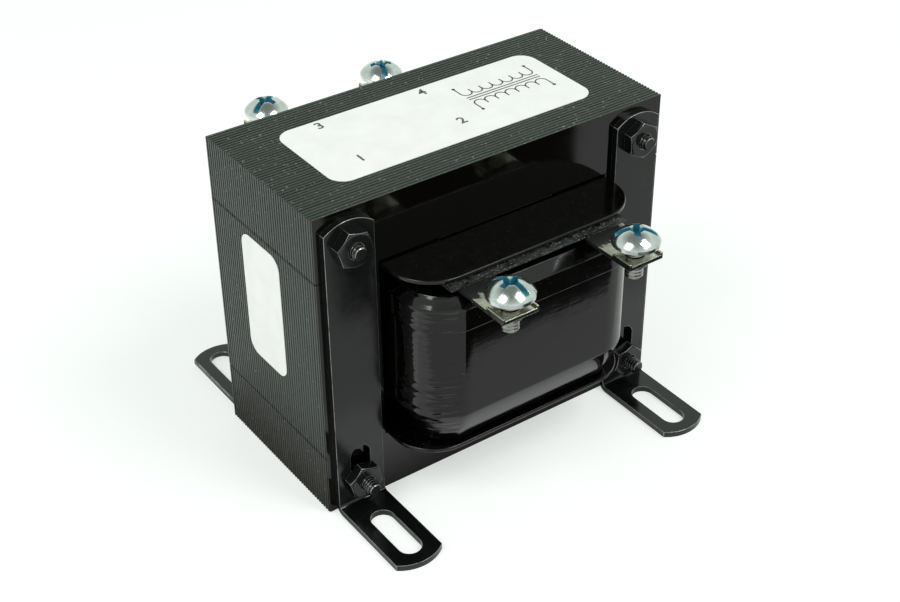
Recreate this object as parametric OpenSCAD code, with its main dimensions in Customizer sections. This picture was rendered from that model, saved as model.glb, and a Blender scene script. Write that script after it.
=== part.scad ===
// Laminated chassis transformer.
// An interleaved E and I core, a coil on a flanged former, four slotted mounting
// straps bolted through the core, and two screw terminals on each side.
// Front is -Y. The origin is the centre of the footprint, on the mounting plane.

/* [Laminations] */
// Width of each outer leg of an E
leg_w = 16; // [12:0.5:20]
// Width of the centre tongue of an E
tongue_w = 32; // [24:0.5:40]
// Width of each window between the tongue and a leg
window_w = 16; // [14:0.5:20]
// Height of the windows
window_h = 48; // [40:0.5:60]
// Height of the back of an E, and of an I
yoke_h = 16; // [12:0.5:20]
// Thickness of one lamination
lam_t = 0.5; // [0.35:0.05:0.65]
// Varnish film between two laminations
film_t = 0.006; // [0.002:0.002:0.02]
// Number of laminations, each an E and an I
lam_count = 90; // [60:2:110]
// Offset between the upright and the inverted laminations
lam_play = 0.12; // [0.04:0.02:0.2]
// Butt gap between an E and its I
butt_gap = 0.3; // [0.05:0.05:0.4]
// Height of the core above the mounting plane
core_lift = 0.2; // [0.1:0.1:2]

/* [Core bolts and nuts] */
// Diameter of the core bolts
bolt_d = 3.5; // [3:0.1:5]
// Distance of each bolt from the core's nearest edges
bolt_in = 8; // [7:0.5:10]
// Radial clearance of the bolt holes through the core
bolt_clear = 0.3; // [0.2:0.05:0.6]
// Width across the flats of heads and nuts
hex_af = 8; // [7:0.1:9]
// Height of the bolt heads
bolt_head_h = 2.8; // [2:0.1:4]
// Height of the nuts
nut_h = 2.7; // [2:0.1:4]
// Width of the chamfer on heads and nuts
hex_chamfer = 0.45; // [0.2:0.05:0.7]
// Thread clearance between a bolt and its nut
thread_clear = 0.03; // [0.02:0.01:0.1]
// Length of the upper bolts past their nuts
upper_past = 1.8; // [0.5:0.1:6]
// Length of the lower bolts past their nuts
lower_past = 3.4; // [0.5:0.1:8]
// Width of the chamfer on the tips of the core bolts
bolt_chamfer = 0.35; // [0.2:0.05:0.5]

/* [Mounting straps] */
// Width of the straps
strap_w = 12.6; // [11:0.1:15]
// Thickness of the straps
strap_t = 1.6; // [1:0.1:2.5]
// Radius of the rounded ends of the straps
strap_end_r = 9.9; // [8:0.1:15]
// Reach of a strap's upper end above the bolt
strap_over = 6.3; // [5:0.1:8]
// Inside radius of the bend above the foot
bend_r = 1.2; // [0.6:0.1:2]
// Length of the foot from the core's face
foot_len = 27.4; // [22:0.1:40]
// Width of the mounting slot in the foot
slot_w = 5.8; // [4.5:0.1:7]
// Length of the mounting slot in the foot
slot_len = 16.7; // [8:0.1:18]
// Metal left between the mounting slot and the end of the foot
slot_end = 3.3; // [2:0.1:6]
// Width of the hole and of the adjusting slot round the bolts
adjust_w = 5.4; // [5.2:0.1:6.4]
// Height of the adjusting slot above the lower bolt
adjust_up = 9.3; // [4:0.1:14]
// Depth of the adjusting slot below the lower bolt
adjust_down = 3.4; // [3.2:0.1:4.2]

/* [Coil former] */
// Wall of the former's tube
tube_wall = 1.2; // [0.8:0.1:2]
// Outside corner radius of the former's tube
tube_r = 0.6; // [0.3:0.1:1.2]
// Thickness of the former's flanges
flange_t = 1; // [0.6:0.1:2]
// Reach of the flanges past the core's face
flange_out = 14.7; // [12:0.1:18]
// Corner radius of the flanges
flange_r = 11; // [6:0.5:14]
// Clearance of the former round the tongue and in the windows
former_clear = 0.3; // [0.1:0.05:0.5]

/* [Coil] */
// Reach of the coil past the core's face
coil_out = 17.4; // [16:0.1:20]
// Clearance between the coil and the legs of the core
leg_clear = 1.5; // [1:0.1:3]
// Corner radius of the finished coil
coil_r = 11; // [9:0.5:14]
// Thickness of the outer wrap
wrap_t = 0.8; // [0.4:0.1:1.5]
// Build of the inner winding
inner_build = 5.2; // [3:0.1:7]
// Insulation between the windings
insulation_t = 0.6; // [0.3:0.1:1.5]
// Clearance between one layer of the coil and the next
layer_clear = 0.05; // [0.03:0.01:0.1]
// Height that the coil stands above the lower flange
coil_rise = 0.7; // [0.3:0.1:3]
// Clearance between the coil's top edge and the lead wires over it
lead_clear = 0.15; // [0.1:0.05:1]
// Margin of the wrap past both ends of the windings
margin = 1.6; // [1.2:0.1:3]
// Height of the lower taper of the wrap
low_taper_h = 8.5; // [4:0.1:12]
// Depth of the lower taper of the wrap
low_taper_in = 3.8; // [2:0.1:6]
// Height of the upper shoulder of the wrap
top_taper_h = 2.8; // [1.5:0.1:5]
// Depth of the upper shoulder of the wrap
top_taper_in = 2.4; // [1.5:0.1:4]

/* [Terminals] */
// Distance between the two terminals on one side
terminal_pitch = 34.6; // [26:0.1:40]
// Thickness of the terminal boards
board_t = 0.95; // [0.6:0.05:1.5]
// Width of the terminal boards
board_w = 49; // [48:0.5:58]
// Reach of the terminal boards past the core's face
board_out = 16.6; // [15:0.1:19]
// Width of a terminal tab
tab_w = 9.5; // [8:0.1:11]
// Thickness of a terminal tab
tab_t = 1; // [0.6:0.1:1.5]
// Reach of a terminal tab past the core's face
tab_out = 31.6; // [30:0.1:36]
// Length of a tab held under its board
tab_root = 8.3; // [5:0.1:12]
// Height of the turned-up side lips of a tab
lip_h = 0.6; // [0.4:0.1:1.5]
// Length of the side lips
lip_len = 6; // [3:0.1:8]
// Thickness of the side lips
lip_t = 0.6; // [0.4:0.1:1]
// Outside diameter of the tapped collar under a tab
collar_d = 5.8; // [5:0.1:7]
// Height of the tapped collar under a tab
collar_h = 1.3; // [0.6:0.1:2]
// Diameter of the lead wires
lead_d = 1.4; // [0.8:0.1:1.8]
// Bend radius of the lead wires, to their middle line
lead_bend = 1.1; // [0.8:0.1:1.5]
// Length of a tab's root that its lead wire lies under
lead_run = 6; // [5.5:0.1:8]

/* [Terminal screws] */
// Thread diameter of the terminal screws
screw_d = 4.2; // [3:0.1:4.5]
// Length of the terminal screws under the head
screw_len = 8.7; // [6.5:0.1:12]
// Distance of the terminal screws from the core's face
screw_out = 27.8; // [25:0.1:28.5]
// Gap between a screw's head and its tab
screw_raise = 3; // [0.1:0.1:3.5]
// Diameter of the screw heads
head_d = 11; // [9:0.1:12]
// Height of the flat rim of the screw heads
head_rim = 0.9; // [0.6:0.1:1.5]
// Height of the dome of the screw heads
head_dome = 2.8; // [2:0.1:3.4]
// Width of the slot across the screw heads
driver_slot = 1.4; // [0.8:0.1:1.8]
// Depth of the slot across the screw heads
slot_depth = 1.9; // [1:0.1:2.2]
// Depth of the cross recess
cross_depth = 2.4; // [1:0.1:2.5]
// Span of the cross recess
cross_span = 5.4; // [4:0.1:7]
// Diameter of the mouth of the cross recess
cross_mouth = 3.4; // [2:0.1:4]
// Width of the chamfer on the tips of the terminal screws
screw_chamfer = 0.4; // [0.2:0.05:0.8]

/* [Labels] */
// Thickness of the labels
label_t = 0.15; // [0.1:0.05:0.3]
// Length of the top label
top_label_l = 71.6; // [40:0.1:85]
// Width of the top label
top_label_w = 27.4; // [15:0.1:29]
// Corner radius of the top label
top_label_r = 4.2; // [1:0.1:6]
// Height of the side label
side_label_h = 33; // [20:0.1:50]
// Width of the side label
side_label_w = 16.5; // [10:0.1:24]
// Corner radius of the side label
side_label_r = 3.4; // [1:0.1:5]
// Height of the side label's middle above the core's lower edge
side_label_up = 45.6; // [40:0.1:50]
// Distance of the side label's middle behind the middle of the core
side_label_back = 1.1; // [-3:0.1:3]

/* [Hidden] */
$fn = 64;
// Overlap of a cutting tool past the face that it cuts
cut = 1;
// Straight steps in the outline of a screw head's dome
dome_steps = 12;

core_w = 2 * (leg_w + window_w) + tongue_w;
core_h = window_h + 2 * yoke_h;
lam_pitch = lam_t + film_t;
face_y = (lam_count * lam_pitch - film_t) / 2;
window_x = tongue_w / 2 + window_w;
core_top = core_lift + core_h;

// Bolt axes, and the turn of each nut as [upper left, upper right], [lower left, lower right]
bolt_x = core_w / 2 - bolt_in;
bolt_z_low = core_lift + bolt_in;
bolt_z_high = core_top - bolt_in;
nut_turns_high = [47, 32];
nut_turns_low = [44, 17];
strap_face = face_y + strap_t;

tube_x = tongue_w / 2 + former_clear + tube_wall;
tube_y = face_y + former_clear + tube_wall;
former_z0 = core_lift + yoke_h + former_clear;
former_z1 = core_top - yoke_h - former_clear;

coil_x = window_x - leg_clear;
coil_y = face_y + coil_out;
coil_z0 = former_z0 + flange_t + coil_rise;
coil_z1 = former_z1 - flange_t - board_t - tab_t - lead_d - lead_clear;
winding_z0 = coil_z0 + margin;
winding_z1 = coil_z1 - margin;

board_z = former_z1 - flange_t - board_t;
tab_y0 = face_y + board_out - tab_root;
tab_y1 = face_y + tab_out;
tab_z = board_z - tab_t;
screw_y = face_y + screw_out;
head_z = board_z + screw_raise;

// Terminals as [side in X, side in Y, turn of the screw's slot]
front_left = [-1, -1, 104];
front_right = [1, -1, 143];
rear_left = [-1, 1, 25];
rear_right = [1, 1, 70];

// ---- shared shapes ----

module rounded_rect(length, width, radius) {
    square([length - 2 * radius, width], center = true);
    square([length, width - 2 * radius], center = true);
    for (sx = [-1, 1], sy = [-1, 1])
        translate([sx * (length / 2 - radius), sy * (width / 2 - radius)])
            circle(radius);
}

// Straight-sided block with rounded corners
module plain_block(half_x, half_y, radius, z0, z1)
    translate([0, 0, z0])
        linear_extrude(z1 - z0)
            rounded_rect(2 * half_x, 2 * half_y, radius);

// Half section of the coil, out to the reach given, with its two tapers
function coil_profile(reach) = [
    [0, coil_z0],
    [reach - low_taper_in, coil_z0],
    [reach, coil_z0 + low_taper_h],
    [reach, coil_z1 - top_taper_h],
    [reach - top_taper_in, coil_z1],
    [0, coil_z1]
];

function mirrored(profile) = concat(
    profile,
    [for (i = [len(profile) - 2 : -1 : 1]) [-profile[i][0], profile[i][1]]]
);

// The coil's outer form, less an inset all round
module coil_block(inset) {
    half_x = coil_x - inset;
    half_y = coil_y - inset;
    radius = coil_r - inset;
    for (sx = [-1, 1], sy = [-1, 1])
        translate([sx * (half_x - radius), sy * (half_y - radius), 0])
            rotate_extrude()
                polygon(coil_profile(radius));
    translate([0, half_y - radius, 0])
        rotate([90, 0, 0])
            linear_extrude(2 * (half_y - radius))
                polygon(mirrored(coil_profile(half_x)));
    translate([radius - half_x, 0, 0])
        rotate([90, 0, 90])
            linear_extrude(2 * (half_x - radius))
                polygon(mirrored(coil_profile(half_y)));
}

// One layer of the coil, from its build at the inside to its build at the outside
module inner_layer(build_0, build_1, z0, z1)
    difference() {
        plain_block(tube_x + build_1, tube_y + build_1, tube_r + build_1, z0, z1);
        plain_block(tube_x + build_0, tube_y + build_0, tube_r + build_0, z0 - cut, z1 + cut);
    }

// Obround hole with its long side along Y, from y0 to y1
module slot_2d(width, y0, y1) {
    translate([-width / 2, y0 + width / 2])
        square([width, y1 - y0 - width]);
    for (y = [y0 + width / 2, y1 - width / 2])
        translate([0, y])
            circle(d = width);
}

// Hexagon standing on Z, with the corners turned off its free end
module hex_prism(height) {
    corner_r = hex_af / sqrt(3);
    intersection() {
        cylinder(h = height, r = corner_r, $fn = 6);
        rotate_extrude()
            polygon([
                [0, 0],
                [corner_r, 0],
                [corner_r, height - hex_chamfer],
                [corner_r - 2 * hex_chamfer, height],
                [0, height]
            ]);
    }
}

// Round shank standing on Z, with its free end chamfered
module shank(diameter, length, chamfer)
    rotate_extrude()
        polygon([
            [0, 0],
            [diameter / 2, 0],
            [diameter / 2, length - chamfer],
            [diameter / 2 - chamfer, length],
            [0, length]
        ]);

// ---- core ----

// Stands a flat outline, drawn in X and Z, as every second lamination of the stack
module every_second(first)
    for (i = [first : 2 : lam_count - 1])
        translate([0, i * lam_pitch + lam_t - face_y, 0])
            rotate([90, 0, 0])
                linear_extrude(lam_t)
                    children();

module bolt_holes()
    for (sx = [-1, 1])
        translate([sx * bolt_x, bolt_in])
            circle(d = bolt_d + 2 * bolt_clear);

// E with its back at the bottom and its three legs up
module e_outline()
    difference() {
        translate([-core_w / 2, 0])
            square([core_w, yoke_h + window_h - butt_gap / 2]);
        for (sx = [-1, 1])
            translate([sx * (tongue_w + window_w) / 2 - window_w / 2, yoke_h])
                square([window_w, window_h + cut]);
        bolt_holes();
    }

// I with its outer edge at the bottom
module i_outline()
    difference() {
        translate([-core_w / 2, 0])
            square([core_w, yoke_h - butt_gap / 2]);
        bolt_holes();
    }

module e_laminations_upright()
    color([0.13, 0.14, 0.13])
        translate([lam_play / 2, 0, core_lift + lam_play / 2])
            every_second(0)
                e_outline();

module i_laminations_upper()
    color([0.17, 0.18, 0.17])
        translate([lam_play / 2, 0, core_top + lam_play / 2])
            mirror([0, 0, 1])
                every_second(0)
                    i_outline();

module e_laminations_inverted()
    color([0.15, 0.16, 0.15])
        translate([-lam_play / 2, 0, core_top - lam_play / 2])
            mirror([0, 0, 1])
                every_second(1)
                    e_outline();

module i_laminations_lower()
    color([0.17, 0.18, 0.17])
        translate([-lam_play / 2, 0, core_lift - lam_play / 2])
            every_second(1)
                i_outline();

// ---- coil ----

module flange(z)
    plain_block(window_x - former_clear, face_y + flange_out, flange_r, z, z + flange_t);

module coil_former()
    color([0.10, 0.09, 0.09])
        difference() {
            union() {
                plain_block(tube_x, tube_y, tube_r, former_z0, former_z1);
                flange(former_z0);
                flange(former_z1 - flange_t);
            }
            translate([
                -tongue_w / 2 - former_clear,
                -face_y - former_clear,
                former_z0 - cut
            ])
                cube([
                    tongue_w + 2 * former_clear,
                    2 * (face_y + former_clear),
                    former_z1 - former_z0 + 2 * cut
                ]);
        }

module inner_winding()
    color([0.62, 0.33, 0.18])
        inner_layer(layer_clear, inner_build, winding_z0, winding_z1);

module winding_insulation()
    color([0.72, 0.62, 0.42])
        inner_layer(
            inner_build + layer_clear,
            inner_build + insulation_t,
            winding_z0 - margin / 2,
            winding_z1 + margin / 2
        );

module outer_winding() {
    build = inner_build + insulation_t + layer_clear;
    color([0.66, 0.36, 0.20])
        difference() {
            intersection() {
                coil_block(wrap_t + layer_clear);
                plain_block(coil_x, coil_y, coil_r, winding_z0, winding_z1);
            }
            plain_block(
                tube_x + build, tube_y + build, tube_r + build,
                winding_z0 - cut, winding_z1 + cut
            );
        }
}

module coil_wrap()
    color([0.07, 0.07, 0.07])
        difference() {
            coil_block(0);
            coil_block(wrap_t);
        }

// ---- terminals ----

module terminal_board(side)
    color([0.16, 0.17, 0.16])
        translate([
            -board_w / 2,
            side > 0 ? tube_y + layer_clear : -face_y - board_out,
            board_z
        ])
            cube([board_w, face_y + board_out - tube_y - layer_clear, board_t]);

module terminal_board_front() terminal_board(-1);
module terminal_board_rear() terminal_board(1);

// Tab along +Y, with its lips up and its tapped collar down
module tab_blank() {
    translate([-tab_w / 2, tab_y0, tab_z])
        cube([tab_w, tab_y1 - tab_y0, tab_t]);
    for (x = [-tab_w / 2, tab_w / 2 - lip_t])
        translate([x, tab_y1 - lip_len, tab_z])
            cube([lip_t, lip_len, tab_t + lip_h]);
    translate([0, screw_y, tab_z - collar_h])
        cylinder(h = collar_h + tab_t, d = collar_d);
}

module tab(place)
    color([0.78, 0.77, 0.68])
        mirror([0, place[1] < 0 ? 1 : 0, 0])
            translate([place[0] * terminal_pitch / 2, 0, 0])
                difference() {
                    tab_blank();
                    translate([0, screw_y, tab_z - collar_h - cut])
                        cylinder(h = collar_h + tab_t + 2 * cut, d = screw_d + 2 * thread_clear);
                }

module tab_front_left() tab(front_left);
module tab_front_right() tab(front_right);
module tab_rear_left() tab(rear_left);
module tab_rear_right() tab(rear_right);

// Half section of a screw head: a flat rim under a dome that is part of a sphere
function dome_profile(steps) =
    let (
        base = head_d / 2,
        ball = (base * base + head_dome * head_dome) / (2 * head_dome),
        sweep = asin(base / ball)
    )
    [for (i = [steps : -1 : 0])
        [ball * sin(sweep * i / steps), head_rim + head_dome - ball * (1 - cos(sweep * i / steps))]];

module driver_recess() {
    top = head_rim + head_dome;
    translate([-head_d / 2 - cut, -driver_slot / 2, top - slot_depth])
        cube([head_d + 2 * cut, driver_slot, slot_depth + cut]);
    for (turn = [0, 90])
        rotate(turn)
            translate([-cross_span / 2, -driver_slot / 2, top - cross_depth])
                cube([cross_span, driver_slot, cross_depth + cut]);
    translate([0, 0, top - cross_depth])
        cylinder(h = cross_depth, d1 = driver_slot, d2 = cross_mouth);
}

module terminal_screw(turn) {
    difference() {
        rotate_extrude()
            polygon(concat([[0, 0], [head_d / 2, 0]], dome_profile(dome_steps)));
        rotate(turn)
            driver_recess();
    }
    mirror([0, 0, 1])
        shank(screw_d, screw_len, screw_chamfer);
}

module terminal_screws()
    color([0.80, 0.82, 0.82])
        for (place = [front_left, front_right, rear_left, rear_right])
            translate([place[0] * terminal_pitch / 2, place[1] * screw_y, head_z])
                terminal_screw(place[2]);

// Lead from the top of a winding, bent over to lie under a tab's root
module lead_wire(start_y) {
    lead_z = tab_z - lead_d / 2;
    translate([0, start_y, winding_z1])
        cylinder(h = lead_z - lead_bend - winding_z1, d = lead_d);
    translate([0, start_y + lead_bend, lead_z - lead_bend])
        rotate([90, 0, -90])
            rotate_extrude(angle = 90)
                translate([lead_bend, 0])
                    circle(d = lead_d);
    translate([0, start_y + lead_bend, lead_z])
        rotate([-90, 0, 0])
            cylinder(h = tab_y0 + lead_run - start_y - lead_bend, d = lead_d);
}

module lead_wires()
    color([0.70, 0.40, 0.22])
        for (place = [front_left, front_right, rear_left, rear_right])
            mirror([0, place[1] < 0 ? 1 : 0, 0])
                translate([place[0] * terminal_pitch / 2, 0, 0])
                    lead_wire(
                        place[1] < 0
                            ? tube_y + inner_build + insulation_t + lead_d
                            : tube_y + inner_build / 2
                    );

// ---- mounting straps ----

// Flat outline that ends in a shallow arc, from y = 0 up to the reach given
module strap_outline(reach)
    intersection() {
        translate([-strap_w / 2, 0])
            square([strap_w, reach]);
        union() {
            translate([-strap_w / 2, 0])
                square([strap_w, reach - strap_end_r]);
            translate([0, reach - strap_end_r])
                circle(strap_end_r);
        }
    }

// Side view of the bent strip: its foot along +X, its upright along +Y
module strap_profile(top) {
    outer_r = bend_r + strap_t;
    translate([0, outer_r])
        square([strap_t, top - outer_r]);
    translate([outer_r, 0])
        square([foot_len - outer_r, strap_t]);
    intersection() {
        square(outer_r);
        difference() {
            translate([outer_r, outer_r])
                circle(outer_r);
            translate([outer_r, outer_r])
                circle(bend_r);
        }
    }
}

// Strap against the plane y = 0, with its foot out along +Y
module bent_strap() {
    top = bolt_z_high + strap_over;
    difference() {
        intersection() {
            translate([-strap_w / 2, 0, 0])
                rotate([90, 0, 90])
                    linear_extrude(strap_w)
                        strap_profile(top);
            translate([0, foot_len + cut, 0])
                rotate([90, 0, 0])
                    linear_extrude(foot_len + 2 * cut)
                        strap_outline(top);
            translate([0, 0, -cut])
                linear_extrude(top + 2 * cut)
                    strap_outline(foot_len);
        }
        translate([0, 2 * strap_t, bolt_z_high])
            rotate([90, 0, 0])
                cylinder(h = 3 * strap_t, d = adjust_w);
        translate([0, 2 * strap_t, bolt_z_low])
            rotate([90, 0, 0])
                linear_extrude(3 * strap_t)
                    slot_2d(adjust_w, -adjust_down, adjust_up);
        translate([0, foot_len, -cut])
            linear_extrude(strap_t + 2 * cut)
                slot_2d(slot_w, -slot_end - slot_len, -slot_end);
    }
}

module strap(place)
    color([0.08, 0.08, 0.08])
        mirror([0, place[1] < 0 ? 1 : 0, 0])
            translate([place[0] * bolt_x, face_y, 0])
                bent_strap();

module strap_front_left() strap(front_left);
module strap_front_right() strap(front_right);
module strap_rear_left() strap(rear_left);
module strap_rear_right() strap(rear_right);

// ---- core bolts and nuts ----

// Two bolts from the rear straps to past the nuts on the front straps
module core_bolts(z, past)
    for (sx = [-1, 1])
        translate([sx * bolt_x, strap_face, z]) {
            rotate([-90, 0, 0])
                hex_prism(bolt_head_h);
            rotate([90, 0, 0])
                shank(bolt_d, 2 * strap_face + nut_h + past, bolt_chamfer);
        }

module core_bolts_upper()
    color([0.10, 0.10, 0.10])
        core_bolts(bolt_z_high, upper_past);

module core_bolts_lower()
    color([0.10, 0.10, 0.10])
        core_bolts(bolt_z_low, lower_past);

module core_nut(turn)
    difference() {
        rotate(turn)
            hex_prism(nut_h);
        translate([0, 0, -cut])
            cylinder(h = nut_h + 2 * cut, d = bolt_d + 2 * thread_clear);
    }

module core_nuts()
    color([0.09, 0.09, 0.09])
        for (i = [0, 1], row = [[bolt_z_high, nut_turns_high], [bolt_z_low, nut_turns_low]])
            translate([(2 * i - 1) * bolt_x, -strap_face, row[0]])
                rotate([90, 0, 0])
                    core_nut(row[1][i]);

// ---- labels ----

module top_label()
    color([0.90, 0.92, 0.91])
        translate([0, 0, core_top + lam_play / 2])
            linear_extrude(label_t)
                rounded_rect(top_label_l, top_label_w, top_label_r);

module side_label()
    color([0.90, 0.92, 0.90])
        translate([
            -core_w / 2 - lam_play / 2 - label_t,
            side_label_back,
            core_lift + side_label_up
        ])
            rotate([90, 0, 90])
                linear_extrude(label_t)
                    rounded_rect(side_label_w, side_label_h, side_label_r);

e_laminations_upright();
e_laminations_inverted();
i_laminations_upper();
i_laminations_lower();
coil_former();
inner_winding();
winding_insulation();
outer_winding();
coil_wrap();
terminal_board_front();
terminal_board_rear();
tab_front_left();
tab_front_right();
tab_rear_left();
tab_rear_right();
terminal_screws();
lead_wires();
strap_front_left();
strap_front_right();
strap_rear_left();
strap_rear_right();
core_bolts_upper();
core_bolts_lower();
core_nuts();
top_label();
side_label();
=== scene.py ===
"""Looks of a laminated chassis transformer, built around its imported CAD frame.

Every piece is made or dressed by one operator, and the sizes and colours that a user
would change are scene properties. Lengths in the properties are in metres.
"""

import math

import bmesh
import bpy
from bpy.props import FloatProperty, FloatVectorProperty, IntProperty, PointerProperty
from mathutils import Matrix, Vector, noise


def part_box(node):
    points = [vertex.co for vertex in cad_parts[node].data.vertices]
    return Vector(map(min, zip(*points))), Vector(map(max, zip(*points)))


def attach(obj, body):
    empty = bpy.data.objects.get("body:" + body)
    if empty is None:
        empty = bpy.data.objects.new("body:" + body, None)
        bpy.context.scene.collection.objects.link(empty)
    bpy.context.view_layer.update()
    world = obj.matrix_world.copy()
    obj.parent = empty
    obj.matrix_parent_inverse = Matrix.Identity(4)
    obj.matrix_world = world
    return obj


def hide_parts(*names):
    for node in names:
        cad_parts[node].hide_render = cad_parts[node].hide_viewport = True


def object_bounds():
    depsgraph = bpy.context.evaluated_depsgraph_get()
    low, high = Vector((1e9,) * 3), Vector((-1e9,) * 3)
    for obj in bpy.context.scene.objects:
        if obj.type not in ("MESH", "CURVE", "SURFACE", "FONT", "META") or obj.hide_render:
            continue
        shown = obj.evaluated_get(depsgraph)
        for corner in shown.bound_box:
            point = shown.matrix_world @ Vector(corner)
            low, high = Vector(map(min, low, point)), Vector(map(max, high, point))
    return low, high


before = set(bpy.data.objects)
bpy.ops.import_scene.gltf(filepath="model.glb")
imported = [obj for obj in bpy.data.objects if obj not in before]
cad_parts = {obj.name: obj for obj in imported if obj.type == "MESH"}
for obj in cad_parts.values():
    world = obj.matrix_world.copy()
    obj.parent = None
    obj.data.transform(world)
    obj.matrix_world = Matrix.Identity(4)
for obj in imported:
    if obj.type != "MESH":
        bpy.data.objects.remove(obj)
CAD_LOW, CAD_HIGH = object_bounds()

bl_info = {
    "name": "Laminated chassis transformer",
    "version": (1, 0, 0),
    "blender": (4, 5, 0),
    "location": "View3D > Sidebar > Transformer",
    "description": "Dresses the pieces of a laminated chassis transformer",
    "category": "Object",
}

MM = 0.001
SIDES = ("front", "rear")
HANDS = ("left", "right")
STRAPS = [f"strap_{side}_{hand}" for side in SIDES for hand in HANDS]
TABS = [f"tab_{side}_{hand}" for side in SIDES for hand in HANDS]
BOARDS = [f"terminal_board_{side}" for side in SIDES]
BOLTS = [f"core_bolts_{row}" for row in ("upper", "lower")]
PLATES = [
    "e_laminations_upright",
    "e_laminations_inverted",
    "i_laminations_upper",
    "i_laminations_lower",
]

CORE_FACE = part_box("i_laminations_upper")[1].y
CORE_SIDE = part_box("i_laminations_upper")[1].x
UPRIGHT_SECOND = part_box("e_laminations_upright")[0].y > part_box("e_laminations_inverted")[0].y

# Edges that turn by more than this are softened, in degrees
SHARP = 32

# Most of a noise lies between these
NOISE_RANGE = (0.3, 0.7)

# Threads: faces in one turn, and depth and crest as shares of the pitch
THREAD_STEPS = 24
THREAD_DEPTH = 0.54
THREAD_CREST = (0.42, 0.58)
SCREW_TIP = 0.4 * MM
BOLT_TIP = 0.5 * MM

# Under a screw's head: end of the plain stub, start of the shank's tone and of the thread
STUB_END = 0.3 * MM
TONE_START = 0.25 * MM
THREAD_START = 0.2 * MM
# Recess: reach as a share of the head, and least depth under the dome and height over the rim
RECESS_REACH = 0.95
RECESS_DEPTH = 0.12 * MM
RECESS_RISE = 0.5 * MM
# Bolts: gap to their thread inside the nut; bores: reach as a share of the bolt's radius
BOLT_GAP = 0.2 * MM
BORE_REACH = 1.25
BORE_TURN = 60

# Tape: shape of the lower taper, half height of the lap, and slope of the last turn's end
TAPER_POWER = 1.25
LAP_STEP = 0.04 * MM
END_SLOPE = 0.7 * MM
# Folds: share of each octave, reach and least depth of the calm height, and overall unevenness
FOLD_SHARES = (0.55, 0.28, 0.17)
CALM_REACH = 9 * MM
CALM_LEAST = 0.25
BROAD_SHARE = 0.06

# Faces of a crusted board along its length, width and thickness
BOARD_CUTS = (160, 40, 4)

# Print on the top label
NUMBER_SPOTS = {"1": (-25.4, -6.8), "2": (2.7, -5.8), "3": (-25.0, 11.2), "4": (3.3, 11.1)}
FONT_SIZE = 1.35  # next to the height of a digit
FONT_WEIGHT = 0.08 * MM
SIGN_LEFT = 10 * MM
SIGN_LOOPS = 7
LOOP_RADIUS = 1.5 * MM
WINDING_ROWS = ((4.9 * MM, 1), (-1.1 * MM, -1))  # height on the label and the way the stems point
BAR_ROWS = (2.4 * MM, 1.4 * MM)
END_STEM = 3.0 * MM
CUSP_STEM = 1.1 * MM
DOT_RADIUS = 0.45 * MM

# Stage
KEY_PLACE = (0.25, -0.45, 0.74)
FILL_PLACE = (-0.51, -0.08, 0.73)
AIM = Vector((0, 0, 0.04))
FLOOR_REACH = 3
SHADE_SIZE = 0.36
SHADE_LIFT = 0.0001
SHADE_RISE = 10 * MM
SHADE_BY_PART = 0.15
SURROUND_TINT = (0.89, 1.0, 0.91, 1)
OVERHEAD = (0.6, 0.92)  # the surround darkens between these heights of the direction
OVERHEAD_SHARE = 0.28


def length(name, description, default, low=0):
    """Property for a length in metres."""
    unit = {"precision": 5, "subtype": "DISTANCE", "unit": "LENGTH"}
    return FloatProperty(name=name, description=description, default=default, min=low, **unit)


def colour(name, description, default):
    """Property for a linear colour."""
    return FloatVectorProperty(
        name=name, description=description, default=default, min=0, max=1, subtype="COLOR"
    )


def share(name, description, default):
    """Property for a number from 0 to 1."""
    return FloatProperty(
        name=name, description=description, default=default, min=0, max=1, subtype="FACTOR"
    )


def view_angle(name, description, degrees):
    """Property for an angle, given in degrees."""
    turn = math.radians(degrees)
    unit = {"subtype": "ANGLE", "unit": "ROTATION"}
    return FloatProperty(name=name, description=description, default=turn, **unit)


def lamp_power(name, description, default):
    """Property for the power of a lamp."""
    return FloatProperty(name=name, description=description, default=default, min=0, unit="POWER")


class CoreLooks(bpy.types.PropertyGroup):
    """Varnished laminations."""

    face_colour: colour("Face colour", "Varnish on the flat faces", (0.0012, 0.0009, 0.0006))
    edge_colour: colour("Edge colour", "Varnish on the plate edges", (0.009, 0.0145, 0.0105))
    # Painted shade: the plate edges turn darker and browner low down, standing in for the shaded floor
    # that they reflect.
    low_shade_colour: colour("Low colour", "Browner varnish low on the plate edges", (0.011, 0.009, 0.005))
    # Painted light: the walls of the steps between plates are brightened to make up for the dark floor
    # that they reflect.
    step_light_colour: colour("Step colour", "Varnish in the steps between plates", (0.042, 0.052, 0.045))
    face_roughness: share("Face roughness", "Roughness of the flat faces", 0.06)
    edge_roughness: share("Edge roughness", "Roughness of the plate edges", 0.3)
    gap_colour: colour("Gap colour", "Dark dots of the butt joints", (0.0005, 0.0005, 0.0005))
    dust_colour: colour("Dust colour", "Specks on the plate edges", (0.3, 0.32, 0.3))
    plate_pitch: length("Plate pitch", "Thickness of one pair of plates", 1.012 * MM)
    seam_high: length("Upper seam", "Height of the upper row of butt joints", 64.2 * MM)
    seam_low: length("Lower seam", "Height of the lower row of butt joints", 16.2 * MM)
    seam_width: length("Seam width", "Height of the dark dots along a seam", 0.8 * MM)


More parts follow.
